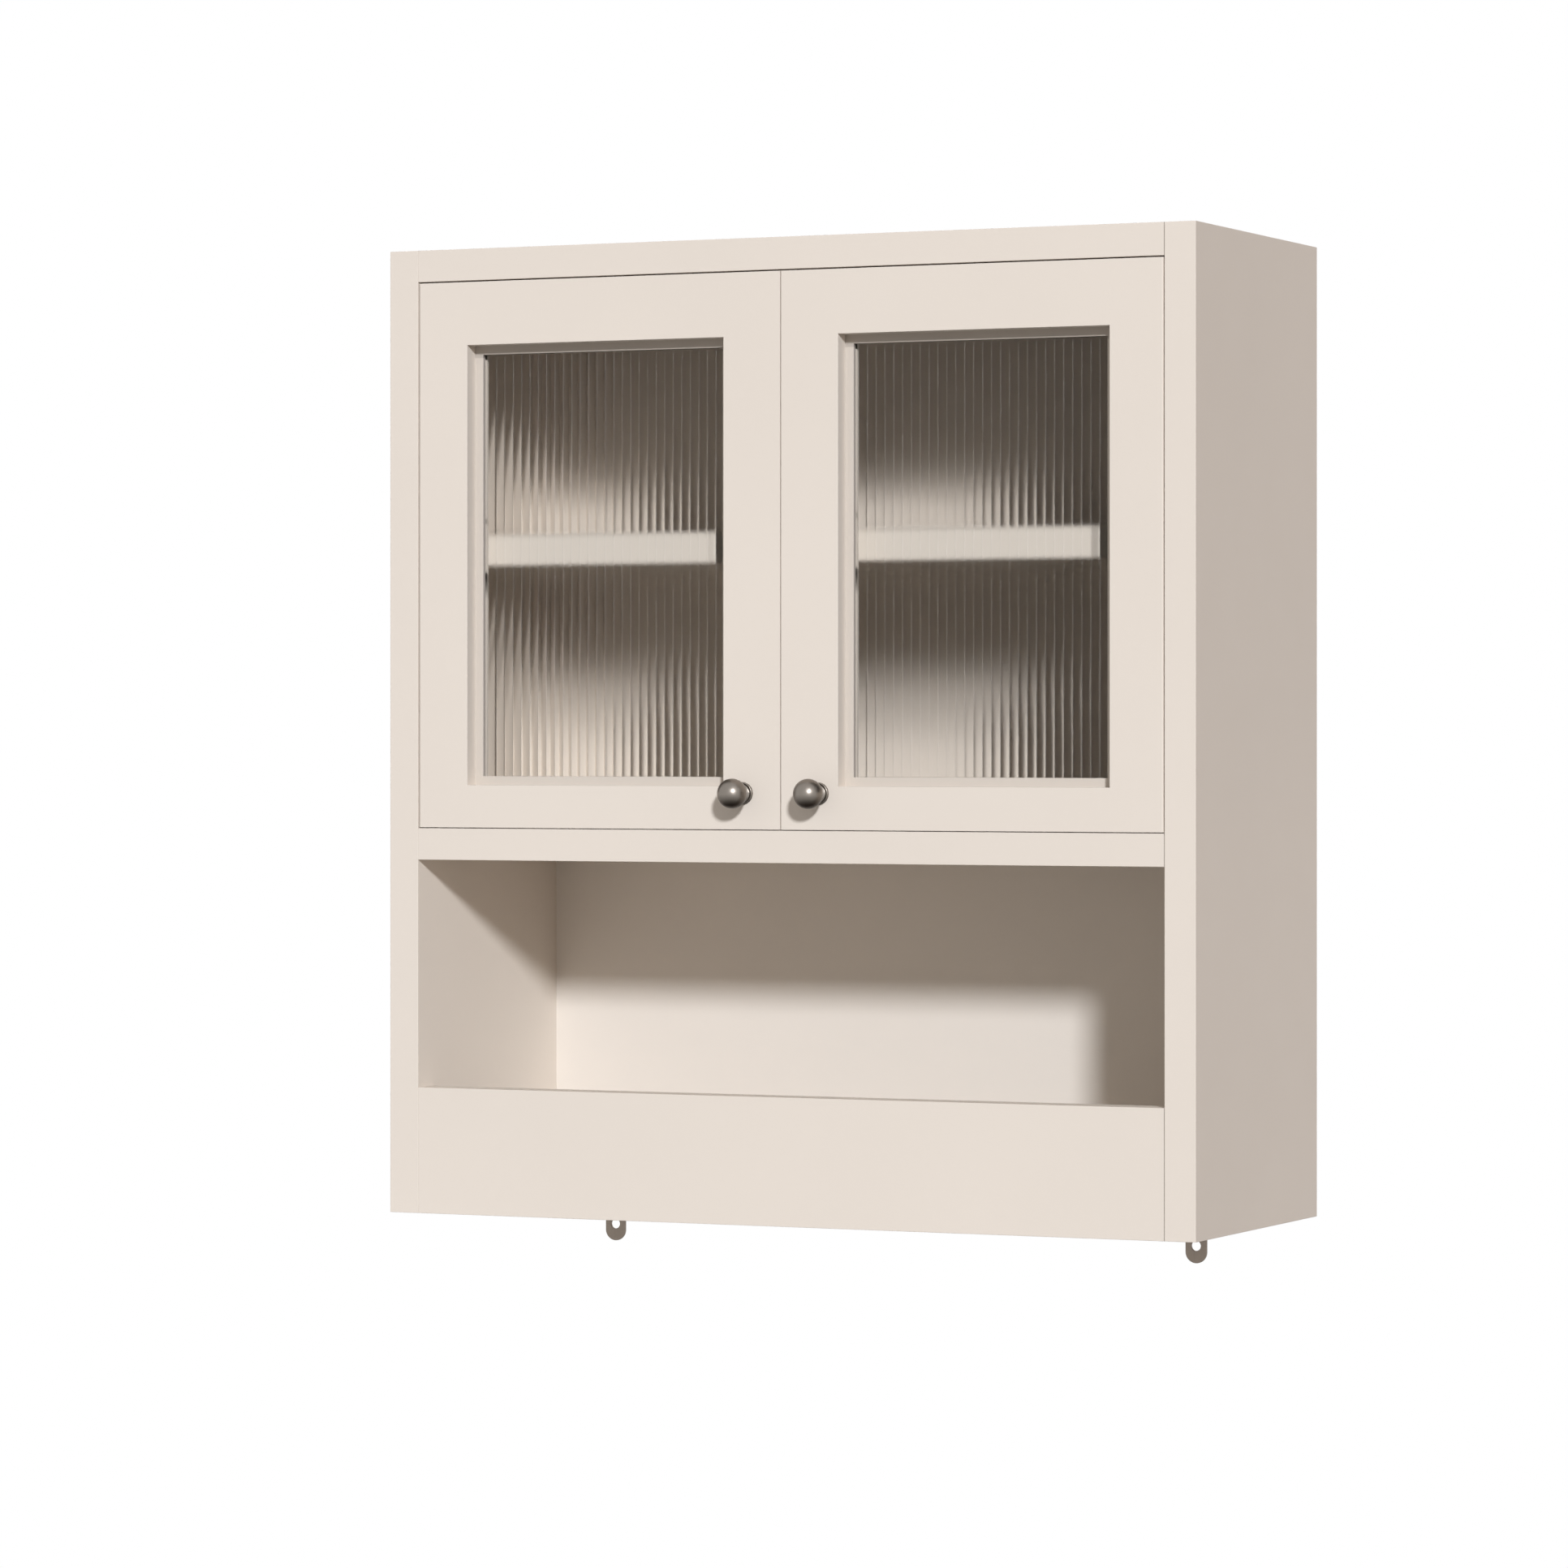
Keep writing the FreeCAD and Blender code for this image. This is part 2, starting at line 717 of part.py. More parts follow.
def save_doors():
    """Both doors with their glass, hinge cups, knobs and strike plates."""
    save_pair("door_frame", [left_door_frame()])
    save_pair("glass", [left_glass()])
    save_pair("glazing_beads", left_glazing_beads())
    for level, height in zip(("lower", "upper"), hinge_heights):
        save_pair(level + "_hinge_cup", [hinge_cup(height)])
    save_pair("hinge_pins", [hinge_pin(height) for height in hinge_heights])
    seats = [seat for height in hinge_heights for seat in cup_screw_seats(height)]
    save_pair("cup_screws", [wood_screw(seat, BACK * -1) for seat in seats])
    save_pair("knob", [left_knob()])
    save_pair("knob_rose", [left_knob_rose()])
    save_pair("knob_bolt", [left_knob_bolt()])
    save_pair("strike_plate", [strike_plate()])


os.makedirs("parts", exist_ok=True)
save_carcass()
save_fittings()
save_doors()
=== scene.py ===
import json
import math

import bmesh
import bpy
from mathutils import Matrix, Vector


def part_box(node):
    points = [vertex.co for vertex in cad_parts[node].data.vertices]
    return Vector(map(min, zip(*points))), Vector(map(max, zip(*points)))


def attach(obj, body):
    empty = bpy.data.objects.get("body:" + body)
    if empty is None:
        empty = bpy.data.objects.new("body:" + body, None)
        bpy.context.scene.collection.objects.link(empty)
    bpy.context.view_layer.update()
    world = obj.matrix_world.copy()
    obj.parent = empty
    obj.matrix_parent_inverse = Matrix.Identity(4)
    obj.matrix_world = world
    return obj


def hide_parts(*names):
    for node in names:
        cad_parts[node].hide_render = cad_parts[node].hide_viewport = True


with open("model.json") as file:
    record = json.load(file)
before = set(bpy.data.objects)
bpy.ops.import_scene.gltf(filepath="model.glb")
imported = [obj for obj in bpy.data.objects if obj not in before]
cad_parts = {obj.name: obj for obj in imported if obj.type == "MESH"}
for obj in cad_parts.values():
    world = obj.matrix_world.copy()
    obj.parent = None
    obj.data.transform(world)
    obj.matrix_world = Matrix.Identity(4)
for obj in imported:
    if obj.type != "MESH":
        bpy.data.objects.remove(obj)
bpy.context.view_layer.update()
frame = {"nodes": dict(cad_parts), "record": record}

# Painted boards of the carcass
# Medium-density fibreboard, arrises eased by hand, then sprayed with a cream satin lacquer.
# The flat panels stand between two full-height sides and are drawn up tight by hidden cams and glued dowels.
# Along the joints at the right-hand side panel a hairline of painted shadow stands for the shade of a
# slightly proud side.

CREAM = (0.785, 0.718, 0.645, 1.0)
# Paler colour on the eased arrises, a painted highlight.
CREAM_EDGE_HIGHLIGHT = (0.81, 0.75, 0.685, 1.0)
CREAM_DIP = 0.975
PAINT_ROUGHNESS = 0.5
PAINT_GLOSS = 0.04
GLOSS_SWING = 0.05
DRIFT_SCALE = 5.0
DULL_PATCH_SCALE = 38.0
PEEL_SCALE = 850.0
PEEL_STRENGTH = 0.12
PEEL_HEIGHT = 0.0002
NOISE_SPAN = (0.3, 0.7)
EASED_RADIUS = 0.0005
EASED_SAMPLES = 6
EASED_TURN = (0.995, 0.80)
JOINT_PAINTED_SHADOW = (0.16, 0.135, 0.11, 1.0)
JOINT_WIDTH = 0.0002
JOINT_BLUR = 0.0001


def feed(socket, value):
    """A plain value on an input, or a link to it from another socket."""
    if isinstance(value, bpy.types.NodeSocket):
        socket.id_data.links.new(value, socket)
    else:
        socket.default_value = value


def add(tree, kind, **settings):
    """A node of this kind in a node tree, with its settings."""
    made = tree.nodes.new(kind)
    for name, value in settings.items():
        setattr(made, name, value)
    return made


def put(made, **values):
    """Values or links on a node's inputs, by socket name with underscores for spaces."""
    for name, value in values.items():
        feed(made.inputs[name.replace("_", " ")], value)
    return made


def ranged(value, span, to=(0.0, 1.0), **settings):
    """A socket's value carried from one span to another."""
    made = add(value.id_data, "ShaderNodeMapRange", **settings)
    put(made, Value=value, From_Min=span[0], From_Max=span[1], To_Min=to[0], To_Max=to[1])
    return made.outputs["Result"]


def reckon(operation, first, second):
    """A socket's value worked together with another socket or a plain number."""
    made = add(first.id_data, "ShaderNodeMath", operation=operation)
    feed(made.inputs[0], first)
    feed(made.inputs[1], second)
    return made.outputs["Value"]


def reckon_vectors(operation, *terms):
    """A node that works on vectors, the first of them a socket."""
    made = add(terms[0].id_data, "ShaderNodeVectorMath", operation=operation)
    for socket, term in zip(made.inputs, terms):
        feed(socket, term)
    return made


def split_up(vector):
    """A node that gives X, Y and Z of a vector's socket."""
    return put(add(vector.id_data, "ShaderNodeSeparateXYZ"), Vector=vector)


def new_group(name, inputs, outputs):
    """An empty shader node group with its named sockets, and its two end nodes."""
    tree = bpy.data.node_groups.new(name, "ShaderNodeTree")
    for socket_name, kind in inputs:
        tree.interface.new_socket(socket_name, in_out="INPUT", socket_type=kind)
    for socket_name, kind in outputs:
        tree.interface.new_socket(socket_name, in_out="OUTPUT", socket_type=kind)
    return tree, add(tree, "NodeGroupInput"), add(tree, "NodeGroupOutput")


def eased_edges_group():
    """Edge mask and rounded normal along the eased arrises of a piece."""
    inputs = [("Radius", "NodeSocketFloat")]
    outputs = [("Edge", "NodeSocketFloat"), ("Normal", "NodeSocketVector")]
    tree, start, end = new_group("eased_edges", inputs, outputs)
    rounded = add(tree, "ShaderNodeBevel", samples=EASED_SAMPLES)
    put(rounded, Radius=start.outputs["Radius"])
    surface = add(tree, "ShaderNodeNewGeometry")
    turn = reckon_vectors("DOT_PRODUCT", rounded.outputs["Normal"], surface.outputs["True Normal"])
    put(end, Edge=ranged(turn.outputs["Value"], EASED_TURN), Normal=rounded.outputs["Normal"])
    return tree


def sprayed_film_group():
    """Slow drift of tone, patchy gloss and the fine orange peel of a sprayed coat."""
    inputs = [("Drift Scale", "NodeSocketFloat"), ("Peel Scale", "NodeSocketFloat")]
    outputs = [("Tone", "NodeSocketFloat"), ("Gloss", "NodeSocketFloat"), ("Height", "NodeSocketFloat")]
    tree, start, end = new_group("sprayed_film", inputs, outputs)
    place = add(tree, "ShaderNodeTexCoord").outputs["Object"]
    drift = put(add(tree, "ShaderNodeTexNoise"), Vector=place, Detail=3.0, Roughness=0.5)
    patches = put(add(tree, "ShaderNodeTexNoise"), Vector=place, Detail=4.0, Roughness=0.6)
    peel = put(add(tree, "ShaderNodeTexNoise"), Vector=place, Detail=2.0, Roughness=0.45)
    put(drift, Scale=start.outputs["Drift Scale"])
    put(patches, Scale=DULL_PATCH_SCALE)
    put(peel, Scale=start.outputs["Peel Scale"])
    tone = ranged(drift.outputs["Fac"], NOISE_SPAN)
    gloss = ranged(patches.outputs["Fac"], NOISE_SPAN, (-GLOSS_SWING, GLOSS_SWING))
    put(end, Tone=tone, Gloss=gloss, Height=peel.outputs["Fac"])
    return tree


EASED_EDGES = eased_edges_group()
SPRAYED_FILM = sprayed_film_group()


def new_material(name):
    """A material, its node tree and its main shader."""
    material = bpy.data.materials.new(name)
    material.use_nodes = True
    tree = material.node_tree
    return material, tree, tree.nodes["Principled BSDF"]


def place_group(tree, group, **values):
    """A shader node group placed in a material with its own values."""
    made = add(tree, "ShaderNodeGroup", node_tree=group)
    return put(made, **values)


def mix_colours(share, first, second):
    """Colour between two others; either may be a socket or a plain colour."""
    made = add(share.id_data, "ShaderNodeMix", data_type="RGBA")
    colour_inputs = [socket for socket in made.inputs if socket.type == "RGBA"]
    put(made, Factor=share)
    feed(colour_inputs[0], first)
    feed(colour_inputs[1], second)
    return next(socket for socket in made.outputs if socket.type == "RGBA")


def scaled(colour, share):
    """A colour made paler or deeper by a share."""
    return tuple(min(1.0, part * share) for part in colour[:3]) + (1.0,)


def coat_with_paint(tree, shader, colour, edge_highlight):
    """Sprayed lacquer on the main shader: drifting tone, a painted highlight on the arrises and orange peel.
    Gives its colour.
    """
    film = place_group(tree, SPRAYED_FILM, Drift_Scale=DRIFT_SCALE, Peel_Scale=PEEL_SCALE)
    edges = place_group(tree, EASED_EDGES, Radius=EASED_RADIUS)
    toned = mix_colours(film.outputs["Tone"], scaled(colour, CREAM_DIP), colour)
    # The arrises take a paler colour, a painted highlight.
    paler_edges = mix_colours(edges.outputs["Edge"], toned, edge_highlight)
    peel = put(add(tree, "ShaderNodeBump"), Strength=PEEL_STRENGTH, Distance=PEEL_HEIGHT)
    put(peel, Height=film.outputs["Height"], Normal=edges.outputs["Normal"])
    put(shader, Base_Color=paler_edges, Roughness=reckon("ADD", film.outputs["Gloss"], PAINT_ROUGHNESS))
    put(shader, Normal=peel.outputs["Normal"], Specular_IOR_Level=PAINT_GLOSS)
    return paler_edges


def cream_lacquer():
    """Cream satin lacquer on fibreboard."""
    material, tree, shader = new_material("cream_lacquer")
    coat_with_paint(tree, shader, CREAM, CREAM_EDGE_HIGHLIGHT)
    return material


def joint_shadow_lacquer(joint):
    """Cream lacquer with a painted hairline shadow where a board meets the right-hand side panel."""
    material, tree, shader = new_material("joint_shadow_lacquer")
    painted = coat_with_paint(tree, shader, CREAM, CREAM_EDGE_HIGHLIGHT)
    split = split_up(add(tree, "ShaderNodeTexCoord").outputs["Object"])
    hairline = joint - JOINT_WIDTH
    joint_shadow_share = ranged(split.outputs["X"], (hairline - JOINT_BLUR, hairline))
    # Painted shadow: a dark hairline along the joint at the right-hand end.
    put(shader, Base_Color=mix_colours(joint_shadow_share, painted, JOINT_PAINTED_SHADOW))
    return material


def dress(material, *nodes):
    """The finish of whole CAD nodes."""
    for name in nodes:
        mesh = frame["nodes"][name].data
        mesh.materials.clear()
        mesh.materials.append(material)


lacquer = cream_lacquer()
dress(lacquer, "left_side_panel", "right_side_panel", "bottom_panel")
dress(joint_shadow_lacquer(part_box("right_side_panel")[0].x), "top_panel", "middle_panel", "front_apron")

# Back panel and wall rails
# A thin fibreboard sheet slides in grooves behind the compartments.
# Its lacquer is painted a touch paler than the boards in front, as painted light against the shade inside
# the cabinet, and it is left bare behind.
# Two bare rails fill the recess behind it: the upper one takes the wall screws, the lower one is a spacer.

# A paler copy of the cream: painted light for the back panel deep inside the cabinet.
BACK_CREAM_PAINTED_LIGHT = (0.815, 0.762, 0.700, 1.0)
RAW_BOARD = (0.42, 0.29, 0.18, 1.0)
RAW_BOARD_DARK = (0.27, 0.175, 0.10, 1.0)
RAW_ROUGHNESS = 0.85
RAW_GLOSS = 0.15
FIBRE_STRETCH = (1.0, 1.0, 4.0)
FIBRE_SCALE = 260.0
FIBRE_SPAN = (0.32, 0.62)
WALL_FACE = (0.4, 0.6)


def raw_fibre_colour(tree):
    """Fibres and dark flecks of bare fibreboard, as a colour."""
    place = add(tree, "ShaderNodeTexCoord")
    stretch = put(add(tree, "ShaderNodeMapping"), Vector=place.outputs["Object"], Scale=FIBRE_STRETCH)
    fibres = put(add(tree, "ShaderNodeTexNoise"), Vector=stretch.outputs["Vector"], Scale=FIBRE_SCALE)
    put(fibres, Detail=6.0, Roughness=0.7, Distortion=0.6)
    return mix_colours(ranged(fibres.outputs["Fac"], FIBRE_SPAN), RAW_BOARD_DARK, RAW_BOARD)


def bare_fibreboard():
    """Bare fibreboard of the rails."""
    material, tree, shader = new_material("bare_fibreboard")
    put(shader, Base_Color=raw_fibre_colour(tree), Roughness=RAW_ROUGHNESS, Specular_IOR_Level=RAW_GLOSS)
    return material


def facing(tree, axis, span):
    """Share from nought to one as a face turns along an axis of the cabinet."""
    surface = add(tree, "ShaderNodeNewGeometry")
    return ranged(split_up(surface.outputs["True Normal"]).outputs[axis], span)


def one_faced_board():
    """Lacquer on the face that looks into the cabinet, bare fibre on the face towards the wall."""
    material, tree, shader = new_material("one_faced_board")
    painted = coat_with_paint(tree, shader, BACK_CREAM_PAINTED_LIGHT, BACK_CREAM_PAINTED_LIGHT)
    put(shader, Base_Color=mix_colours(facing(tree, "Y", WALL_FACE), painted, raw_fibre_colour(tree)))
    return material


dress(one_faced_board(), "back_panel")
dress(bare_fibreboard(), "upper_hanging_rail", "lower_spacer_rail")

# Carcass fittings
# Beech dowels and plated cam bolts are glued or screwed into the sides, and cast cams pull on the bolts.
# Plastic caps in the board's colour cover the cams, on top of the upper panels and under the bottom one.

BEECH = (0.62, 0.44, 0.27, 1.0)
BEECH_DARK = (0.47, 0.31, 0.17, 1.0)
BEECH_EDGE = 0.0005
PLATED = (0.60, 0.59, 0.57, 1.0)
PLATED_DULL = (0.44, 0.43, 0.41, 1.0)
CAST = (0.36, 0.36, 0.36, 1.0)
CAST_DULL = (0.26, 0.26, 0.27, 1.0)
CAP_CREAM = (0.74, 0.67, 0.585, 1.0)
FITTING_EDGE = 0.0004
EVEN_GRAIN = (1.0, 1.0, 1.0)
STRIP_GRAIN_ACROSS = (0.1, 1.0, 1.0)
BEECH_GRAIN = (0.06, 1.0, 1.0)
STREAK_SCALE = 700.0
STREAK_STRENGTH = 0.08
STREAK_HEIGHT = 0.0001
TARNISH_SCALE = 90.0
WORN_BRIGHTER = 1.12
SMOOTHER_BY = 0.08
ROUGHER_BY = 0.12


def rolled_grain_group():
    """Fine streaks along one direction and a patchy dullness, as on plated strip or turned wood."""
    inputs = [("Stretch", "NodeSocketVector"), ("Scale", "NodeSocketFloat")]
    outputs = [("Streak", "NodeSocketFloat"), ("Patch", "NodeSocketFloat")]
    tree, start, end = new_group("rolled_grain", inputs, outputs)
    place = add(tree, "ShaderNodeTexCoord").outputs["Object"]
    stretch = put(add(tree, "ShaderNodeMapping"), Vector=place, Scale=start.outputs["Stretch"])
    streaks = put(add(tree, "ShaderNodeTexNoise"), Vector=stretch.outputs["Vector"])
    put(streaks, Scale=start.outputs["Scale"], Detail=5.0, Roughness=0.6)
    patches = put(add(tree, "ShaderNodeTexNoise"), Vector=place)
    put(patches, Scale=TARNISH_SCALE, Detail=4.0, Roughness=0.65)
    put(end, Streak=streaks.outputs["Fac"], Patch=patches.outputs["Fac"])
    return tree


ROLLED_GRAIN = rolled_grain_group()


def grained(name, pale, dark, grain_stretch, roughness, metal=1.0, edge_radius=FITTING_EDGE):
    """A grained solid: plated steel, cast zinc, beech or moulded plastic by its values."""
    material, tree, shader = new_material(name)
    grain = place_group(tree, ROLLED_GRAIN, Stretch=grain_stretch, Scale=STREAK_SCALE)
    edges = place_group(tree, EASED_EDGES, Radius=edge_radius)
    colour = mix_colours(grain.outputs["Patch"], dark, pale)
    paler_edges = mix_colours(edges.outputs["Edge"], colour, scaled(pale, WORN_BRIGHTER))
    rough = ranged(grain.outputs["Streak"], (0.0, 1.0), (roughness - SMOOTHER_BY, roughness + ROUGHER_BY))
    bump = put(add(tree, "ShaderNodeBump"), Strength=STREAK_STRENGTH, Distance=STREAK_HEIGHT)
    put(bump, Height=grain.outputs["Streak"], Normal=edges.outputs["Normal"])
    put(shader, Base_Color=paler_edges, Roughness=rough, Normal=bump.outputs["Normal"], Metallic=metal)
    return material


plated_steel = grained("plated_steel", PLATED, PLATED_DULL, STRIP_GRAIN_ACROSS, roughness=0.34)
cast_zinc = grained("cast_zinc", CAST, CAST_DULL, EVEN_GRAIN, roughness=0.55)
beech = grained("beech", BEECH, BEECH_DARK, BEECH_GRAIN, roughness=0.7, metal=0.0, edge_radius=BEECH_EDGE)
cap_plastic = grained("cap_plastic", CAP_CREAM, CAP_CREAM, EVEN_GRAIN, roughness=0.5, metal=0.0)
put(cap_plastic.node_tree.nodes["Principled BSDF"], Specular_IOR_Level=PAINT_GLOSS)
dress(beech, "carcass_dowels")
dress(plated_steel, "cam_bolts")
dress(cast_zinc, "cams")
dress(cap_plastic, "cam_caps")

# Shelf and its pins
# A loose lacquered board rests on four plated pins; its front edge is painted paler, as painted light.
# Spare holes above and below let it sit a step higher or lower.

SHELF_EDGE_PAINTED_LIGHT = (0.965, 0.90, 0.815, 1.0)
FRONT_FACE = (-0.6, -0.9)


def shelf_with_painted_light():
    """Lacquered board with its front edge painted paler, as painted light."""
    material, tree, shader = new_material("shelf_with_painted_light")
    painted = coat_with_paint(tree, shader, CREAM, CREAM_EDGE_HIGHLIGHT)
    # Painted light: the front-facing edge is paler.
    put(shader, Base_Color=mix_colours(facing(tree, "Y", FRONT_FACE), painted, SHELF_EDGE_PAINTED_LIGHT))
    return material


dress(shelf_with_painted_light(), "adjustable_shelf")
dress(plated_steel, "shelf_pins")

# Lower brackets
# Zinc-plated steel strip, bent square and screwed under the bottom panel.
# Each hangs down as a round-ended tab with one hole for a screw into the wall.

STRIP_GREY = (0.315, 0.265, 0.222, 1.0)
STRIP_GREY_DULL = (0.245, 0.206, 0.172, 1.0)
STRIP_GRAIN_ALONG = (1.0, 1.0, 0.1)
STRIP_THICKNESS = 0.002
STRIP_BEND = 0.0022
STRIP_EDGE = 0.0003
SCREW_HEAD_RADIUS = 0.0032
SCREW_HEAD_HEIGHT = 0.0015
SCREW_HEAD_ROUNDING = 0.7
SCREW_SHANK_RADIUS = 0.00175
SCREW_POINT = 0.0025
SCREW_SEGMENTS = 32
RECESS_LENGTH = 0.0036
RECESS_WIDTH = 0.0008
RECESS_DEPTH = 0.0009
SIDE_ON = Matrix(((0, 0, 1, 0), (1, 0, 0, 0), (0, 1, 0, 0), (0, 0, 0, 1)))
FRONT_ON = Matrix.Rotation(math.pi / 2, 4, "X")


def piece_from(name, work, material, body, slot, *nodes):
    """A finished mesh as a piece that rides on a body and stands for CAD nodes."""
    bmesh.ops.recalc_face_normals(work, faces=work.faces)
    mesh = bpy.data.meshes.new(name)
    work.to_mesh(mesh)
    work.free()
    mesh.materials.append(material)
    made = bpy.data.objects.new(name, mesh)
    bpy.context.scene.collection.objects.link(made)
    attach(made, body)
    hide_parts(*nodes)
    return made


def turned(profile, segments):
    """Mesh turned about Z from a half profile of radius and height."""
    work = bmesh.new()
    turns = [2 * math.pi * step / segments for step in range(segments)]
    rings = []
    for radius, height in profile:
        if radius == 0:
            rings.append([work.verts.new((0, 0, height))] * segments)
        else:
            ring = [(radius * math.cos(turn), radius * math.sin(turn), height) for turn in turns]
            rings.append([work.verts.new(corner) for corner in ring])
    for lower, upper in zip(rings, rings[1:]):
        for here in range(segments):
            there = (here + 1) % segments
            corners = [lower[here], lower[there], upper[there], upper[here]]
            work.faces.new(list(dict.fromkeys(corners)))
    for face in work.faces:
        face.smooth = True
    return work


def arc(centre, radius, start, end, steps):
    """Points of a circular arc, with its angles in degrees."""
    angles = [math.radians(start + (end - start) * step / steps) for step in range(steps + 1)]
    across, up = centre
    return [(across + radius * math.cos(angle), up + radius * math.sin(angle)) for angle in angles]


def circle(centre, radius, steps=48):
    """Closed round outline."""
    return arc(centre, radius, 0, 360 - 360 / steps, steps - 1)


def solids_of(node):
    """Lowest and highest corners of each separate solid in a CAD node."""
    work = bmesh.new()
    work.from_mesh(frame["nodes"][node].data)
    bmesh.ops.remove_doubles(work, verts=work.verts, dist=1e-6)
    left = set(work.verts)
    boxes = []
    while left:
        waiting = [left.pop()]
        corners = []
        while waiting:
            here = waiting.pop()
            corners.append(here.co.copy())
            near = {edge.other_vert(here) for edge in here.link_edges} & left
            left -= near
            waiting.extend(near)
        columns = list(zip(*corners))
        boxes.append((Vector(map(min, columns)), Vector(map(max, columns))))
    work.free()
    return boxes


def cut_recess(work):
    """A screw mesh with a cross recess cut in its head."""
    cutter = bmesh.new()
    for turn in (0.0, math.pi / 2):
        size = Matrix.Diagonal((RECESS_LENGTH, RECESS_WIDTH, 2 * RECESS_DEPTH, 1.0))
        place = Matrix.Translation((0, 0, SCREW_HEAD_HEIGHT)) @ Matrix.Rotation(turn, 4, "Z") @ size
        bmesh.ops.create_cube(cutter, size=1.0, matrix=place)
    objects = []
    for name, source in (("screw_blank", work), ("screw_cutter", cutter)):
        mesh = bpy.data.meshes.new(name)
        source.to_mesh(mesh)
        source.free()
        made = bpy.data.objects.new(name, mesh)
        bpy.context.scene.collection.objects.link(made)
        objects.append(made)
    blank, tool = objects
    boolean = blank.modifiers.new("recess", "BOOLEAN")
    boolean.object = tool
    boolean.use_self = True
    blank_ready = blank.evaluated_get(bpy.context.evaluated_depsgraph_get())
    cut = bpy.data.meshes.new_from_object(blank_ready)
    for made in objects:
        bpy.data.objects.remove(made)
    return cut


def pan_head_screw(length):
    """Pan-head wood screw along Z, its head's seat at the origin."""
    shank = SCREW_SHANK_RADIUS
    rounding = SCREW_HEAD_HEIGHT * SCREW_HEAD_ROUNDING
    dome = arc((SCREW_HEAD_RADIUS - rounding, SCREW_HEAD_HEIGHT - rounding), rounding, 0, 90, 6)
    profile = [(0, -length), (shank, SCREW_POINT - length), (shank, 0), (SCREW_HEAD_RADIUS, 0)]
    return cut_recess(turned(profile + dome + [(0, SCREW_HEAD_HEIGHT)], SCREW_SEGMENTS))


def screws(node, outward, body):
    """Pan-head screws in place of a CAD group; outward gives the way a head faces from its lowest corner."""
    work = bmesh.new()
    for low, high in solids_of(node):
        way = outward(low)
        whole_length = abs((high - low).dot(way))
        seat = (low + high) / 2 + way * (whole_length / 2 - SCREW_HEAD_HEIGHT)
        blank = pan_head_screw(whole_length - SCREW_HEAD_HEIGHT)
        blank.transform(Matrix.Translation(seat) @ way.to_track_quat("Z", "Y").to_matrix().to_4x4())
        work.from_mesh(blank)
        bpy.data.meshes.remove(blank)
    piece_from(node + "_cross_head", work, plated_steel, body, "zinc_steel", node)


def flat_outline(name, outlines, thickness, edge):
    """Flat plate from closed outlines, holes included, with softened edges, in its own XY plane."""
    curve = bpy.data.curves.new(name, "CURVE")
    curve.dimensions = "2D"
    curve.fill_mode = "BOTH"
    curve.extrude = thickness / 2 - edge
    curve.bevel_depth = edge
    curve.bevel_resolution = 2
    curve.offset = -edge
    for outline in outlines:
        spline = curve.splines.new("POLY")
        spline.points.add(len(outline) - 1)
        spline.use_cyclic_u = True
        for point, (across, up) in zip(spline.points, outline):
            point.co = (across, up, 0, 1)
    made = bpy.data.objects.new(name, curve)
    bpy.context.scene.collection.objects.link(made)
    mesh = bpy.data.meshes.new_from_object(made.evaluated_get(bpy.context.evaluated_depsgraph_get()))
    bpy.data.objects.remove(made)
    return mesh


def hanging_tab(node, hole_rise, hole_radius):
    """Bent strip in place of a bracket: the foot and bend from the side, the tab from the front."""
    low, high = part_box(node)
    width = high.x - low.x
    middle = (low.x + high.x) / 2
    end = width / 2
    top = high.z - STRIP_THICKNESS - STRIP_BEND
    tab = [(end, top), (-end, top)] + arc((0, low.z + end), end, 180, 360, 24)
    hole = circle((0, low.z + hole_rise), hole_radius)
    bend_centre = (high.y - STRIP_THICKNESS - STRIP_BEND, top)
    side_view = [(low.y, high.z), (low.y, high.z - STRIP_THICKNESS)]
    side_view += arc(bend_centre, STRIP_BEND, 90, 0, 8)
    side_view += arc(bend_centre, STRIP_BEND + STRIP_THICKNESS, 0, 90, 8)
    hanging = flat_outline(node + "_tab", [tab, hole], STRIP_THICKNESS, STRIP_EDGE)
    hanging.transform(Matrix.Translation((middle, high.y - STRIP_THICKNESS / 2, 0)) @ FRONT_ON)
    foot = flat_outline(node + "_foot", [side_view], width, STRIP_EDGE / 2)
    foot.transform(Matrix.Translation((middle, 0, 0)) @ SIDE_ON)
    work = bmesh.new()
    work.from_mesh(hanging)
    work.from_mesh(foot)
    piece_from(node + "_strip", work, strip_steel, "carcass", "zinc_steel", node)


strip_steel = grained("strip_steel", STRIP_GREY, STRIP_GREY_DULL, STRIP_GRAIN_ALONG, roughness=0.45)
tab_screws = next(mount for mount in frame["record"]["mounts"] if mount["name"] == "lower_tab_screws")
tab_hole_height = tab_screws["pos_m"][2]
tab_hole_radius = tab_screws["dims"]["hole_r_mm"] / 1000
for bracket in ("left_lower_bracket", "right_lower_bracket"):
    hanging_tab(bracket, tab_hole_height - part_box(bracket)[0].z, tab_hole_radius)
screws("bracket_screws", lambda corner: Vector((0, 0, -1)), "carcass")

# Magnetic catch
# A white plastic housing screwed under the top panel holds a ferrite magnet for each door.
# A plated strike plate is pegged to the back of each door, a hair's breadth in front of its magnet.

CATCH_WHITE = (0.78, 0.77, 0.74, 1.0)
CATCH_EDGE = 0.0008
FERRITE = (0.055, 0.052, 0.052, 1.0)
FERRITE_DULL = (0.04, 0.038, 0.038, 1.0)

